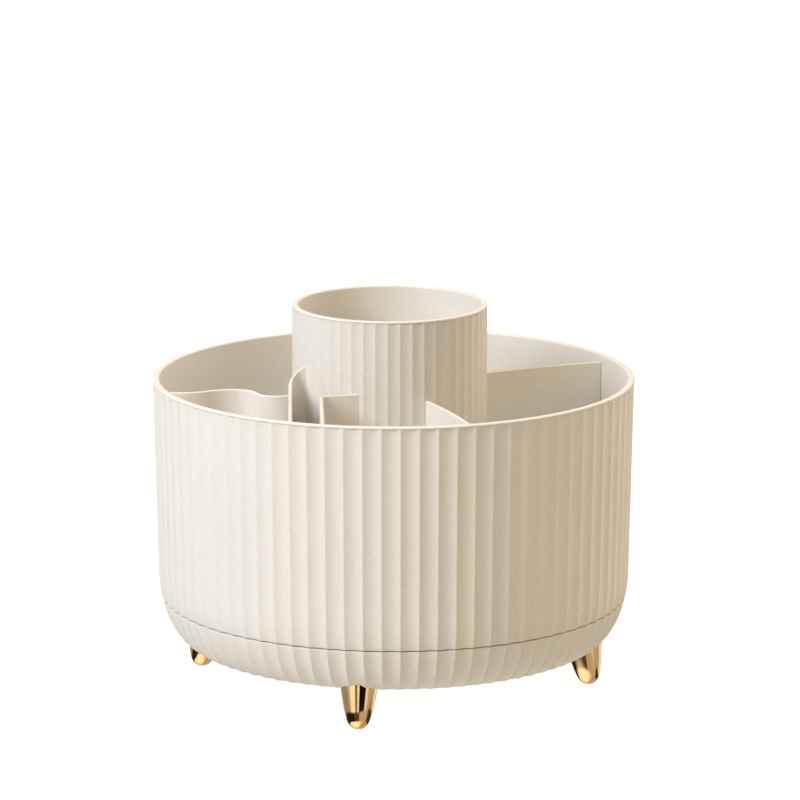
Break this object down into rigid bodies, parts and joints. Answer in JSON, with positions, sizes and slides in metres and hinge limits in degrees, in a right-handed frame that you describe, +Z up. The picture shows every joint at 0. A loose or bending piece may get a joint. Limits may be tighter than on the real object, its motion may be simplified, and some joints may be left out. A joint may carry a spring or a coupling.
{
  "type": "rotating makeup organizer",
  "caption": "Round fluted desktop organizer on short splayed feet, with a centre cup and curved dividers; its tub turns on a ball track.",
  "frame": {"origin": "on the turning axis, at the level that the feet stand on", "axes": "+Z up along the turning axis, -Y towards the front of the picture, +X to its right"},
  "size_m": [0.2, 0.2, 0.159],
  "materials": {
    "cream_plastic": "satin moulded plastic with a fine speckle",
    "insert_plastic": "satin moulded plastic with a fine speckle",
    "gold_plating": "polished warm gold plating",
    "zinc_screws": "zinc plated",
    "race_steel": "turned steel, lightly greased",
    "bearing_plastic": "white low-friction plastic",
    "ball_steel": "polished bearing steel"
  },
  "bodies": {
    "base": {"base_dish": "cream_plastic", "foot_front": "gold_plating", "foot_right": "gold_plating", "foot_back": "gold_plating", "foot_left": "gold_plating", "foot_screws": "zinc_screws", "lower_race": "race_steel", "lower_race_screws": "zinc_screws", "spindle_screw": "zinc_screws", "spindle_nut": "zinc_screws", "thrust_washer": "race_steel", "top_washer": "race_steel"},
    "cage": {"ball_cage": "bearing_plastic", "bearing_balls": "ball_steel"},
    "tub": {"tub_shell": "cream_plastic", "divider_insert": "insert_plastic", "insert_screws": "zinc_screws", "upper_race": "race_steel", "upper_race_screws": "zinc_screws", "hub_bush": "bearing_plastic"}
  },
  "joints": [
    {"name": "tub_spin", "type": "hinge", "parent": "base", "child": "tub", "pos_m": [0, 0, 0.0362], "axis": [0, 0, 1], "continuous": true},
    {"name": "cage_spin", "type": "hinge", "parent": "base", "child": "cage", "pos_m": [0, 0, 0.03115], "axis": [0, 0, 1], "continuous": true}
  ],
  "couplings": [
    {"joint": "cage_spin", "follows": "tub_spin", "ratio": 0.5}
  ]
}
